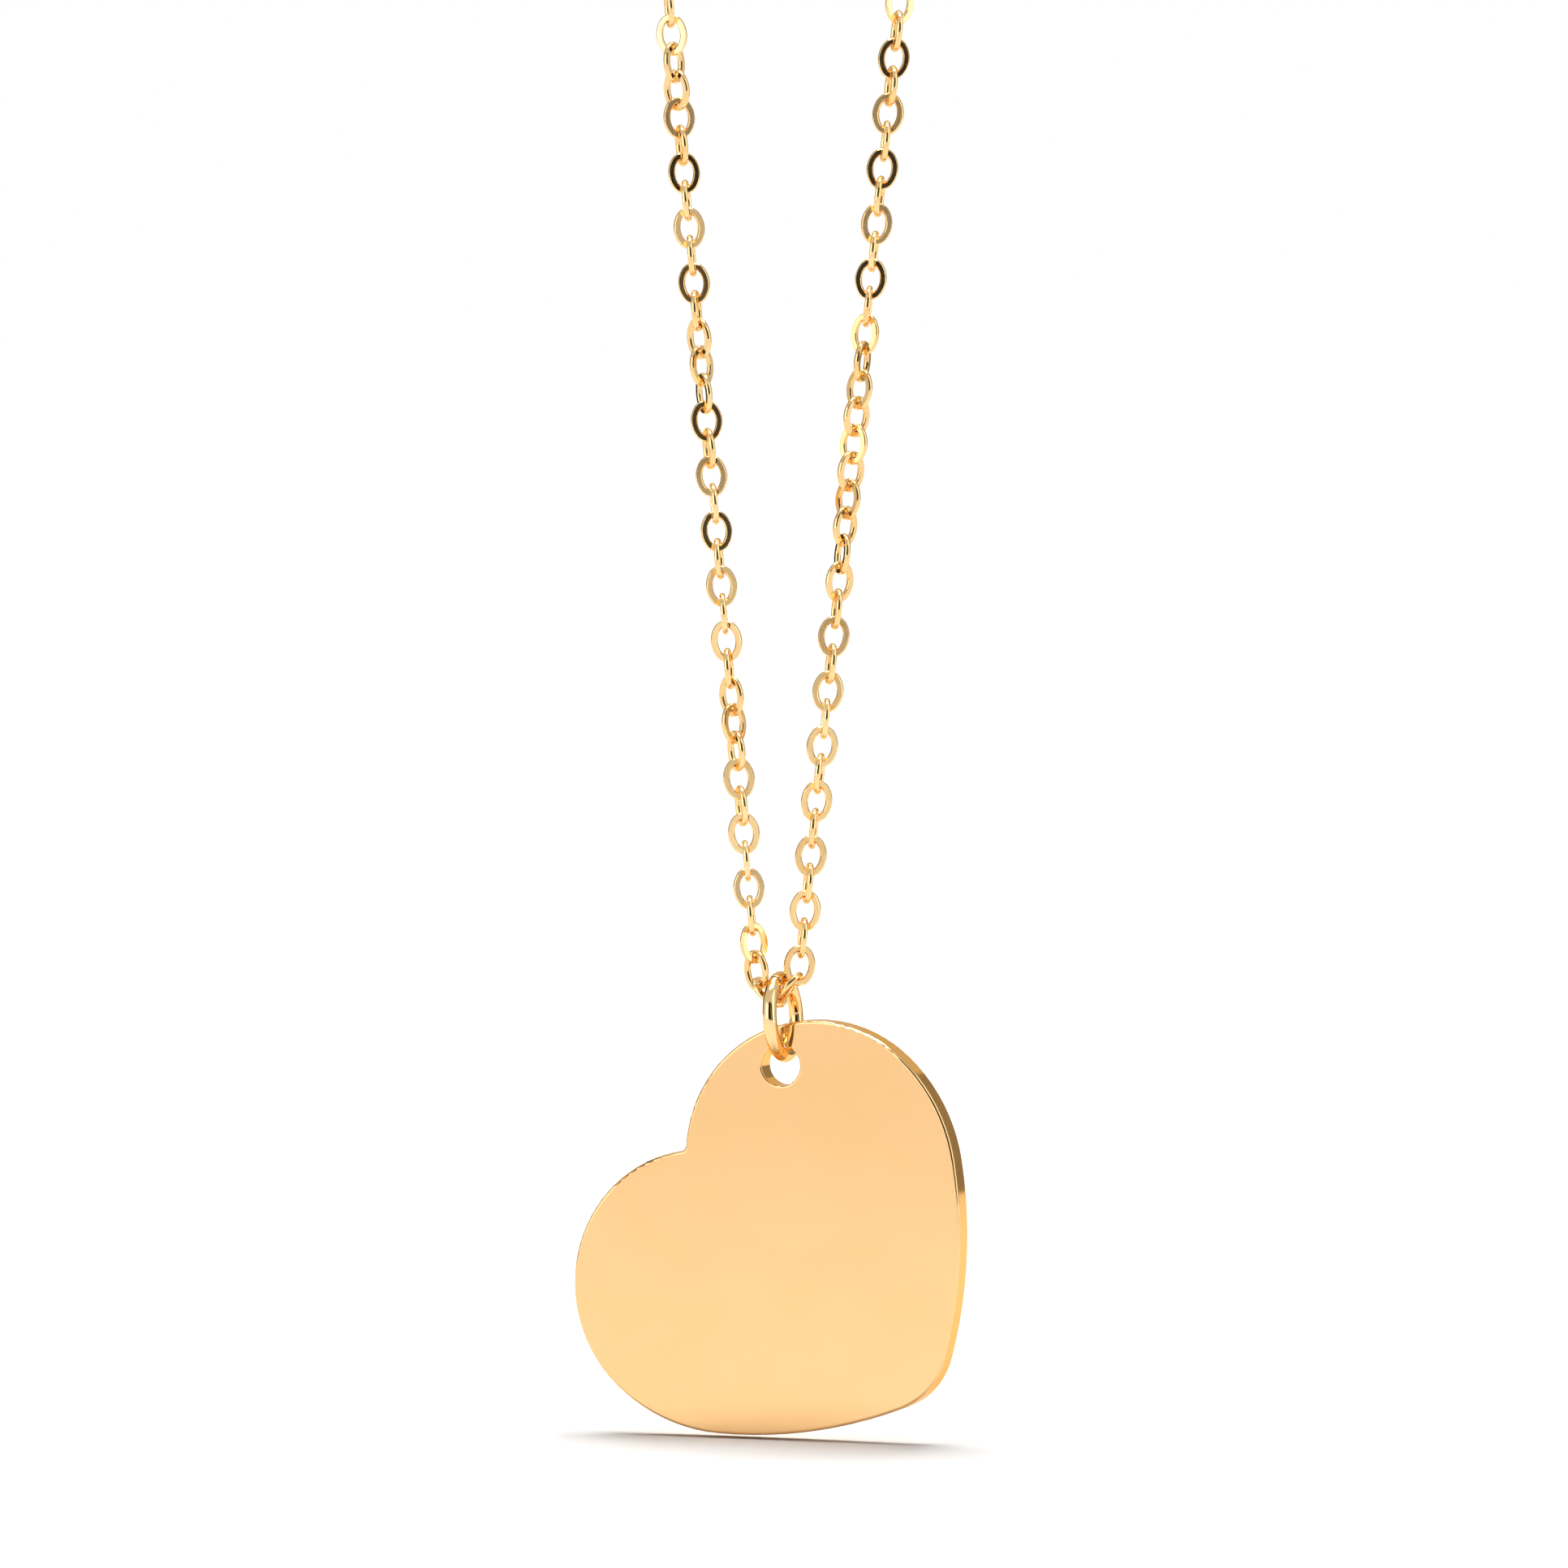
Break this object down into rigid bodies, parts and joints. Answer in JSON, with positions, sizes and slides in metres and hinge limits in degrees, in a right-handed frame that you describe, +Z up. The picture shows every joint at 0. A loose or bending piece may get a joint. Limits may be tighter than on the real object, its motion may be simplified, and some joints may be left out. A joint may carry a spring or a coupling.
{
  "type": "pendant necklace",
  "caption": "Polished heart tag hung by one lobe from a jump ring on a fine oval cable chain, closed by a spring ring clasp.",
  "frame": {"origin": "centre of the rounded bar that the necklace hangs over, level with the middle of its two shoulders; the necklace hangs below it and its clasp lies on top", "axes": "+Z up, +X across the loop, to the right as the heart's front is seen, +Y from front to back"},
  "size_m": [0.0414, 0.008, 0.2362],
  "materials": {
    "chain": "polished",
    "heart": "mirror polished",
    "rings": "polished",
    "clasp": "polished",
    "spring": "drawn wire"
  },
  "bodies": {
    "top": {"chain_back_left": "chain", "chain_back_right": "chain", "clasp_jump_ring": "rings", "end_ring": "rings", "clasp_case": "clasp", "clasp_eye": "clasp", "clasp_spring": "spring"},
    "strands_1": {"chain_left_1": "chain", "chain_right_1": "chain"},
    "strands_2": {"chain_left_2": "chain", "chain_right_2": "chain"},
    "strands_3": {"chain_left_3": "chain", "chain_right_3": "chain"},
    "strands_4": {"chain_left_4": "chain", "chain_right_4": "chain"},
    "strands_5": {"chain_left_5": "chain", "chain_right_5": "chain", "centre_link_left": "chain", "centre_link_right": "chain"},
    "jump_ring": {"pendant_jump_ring": "rings"},
    "heart": {"heart_tag": "heart"},
    "bolt": {"clasp_bolt": "clasp"}
  },
  "joints": [
    {"name": "strand_hinge_1", "type": "hinge", "parent": "top", "child": "strands_1", "pos_m": [-0.01989, 0, -0.00225], "axis": [1, 0, 0], "range_deg": [-20, 20]},
    {"name": "strand_hinge_2", "type": "hinge", "parent": "strands_1", "child": "strands_2", "pos_m": [-0.01635, 0, -0.04153], "axis": [1, 0, 0.0016], "range_deg": [-20, 20]},
    {"name": "strand_hinge_3", "type": "hinge", "parent": "strands_2", "child": "strands_3", "pos_m": [-0.01281, 0, -0.08081], "axis": [1, 0, 0.0042], "range_deg": [-20, 20]},
    {"name": "strand_hinge_4", "type": "hinge", "parent": "strands_3", "child": "strands_4", "pos_m": [-0.00927, 0, -0.12009], "axis": [1, 0, 0.0091], "range_deg": [-20, 20]},
    {"name": "strand_hinge_5", "type": "hinge", "parent": "strands_4", "child": "strands_5", "pos_m": [-0.00573, 0, -0.15937], "axis": [0.9998, 0, 0.022], "range_deg": [-20, 20]},
    {"name": "ring_swing", "type": "hinge", "parent": "strands_5", "child": "jump_ring", "pos_m": [-0.00106, 0.00028, -0.19892], "axis": [0.937, -0.3411, 0.075], "range_deg": [-40, 40]},
    {"name": "heart_rock", "type": "hinge", "parent": "jump_ring", "child": "heart", "pos_m": [-0.00093, 0.00023, -0.20082], "axis": [0.342, 0.9397, 0], "range_deg": [-30, 30]},
    {"name": "clasp_open", "type": "hinge", "parent": "top", "child": "bolt", "pos_m": [0.00106, 0, 0.01502], "axis": [0, 0, 1], "range_deg": [0, 45], "stiffness_Nm_per_rad": 0.0015, "springref_deg": -20.05, "deforming": ["clasp_spring"]}
  ]
}
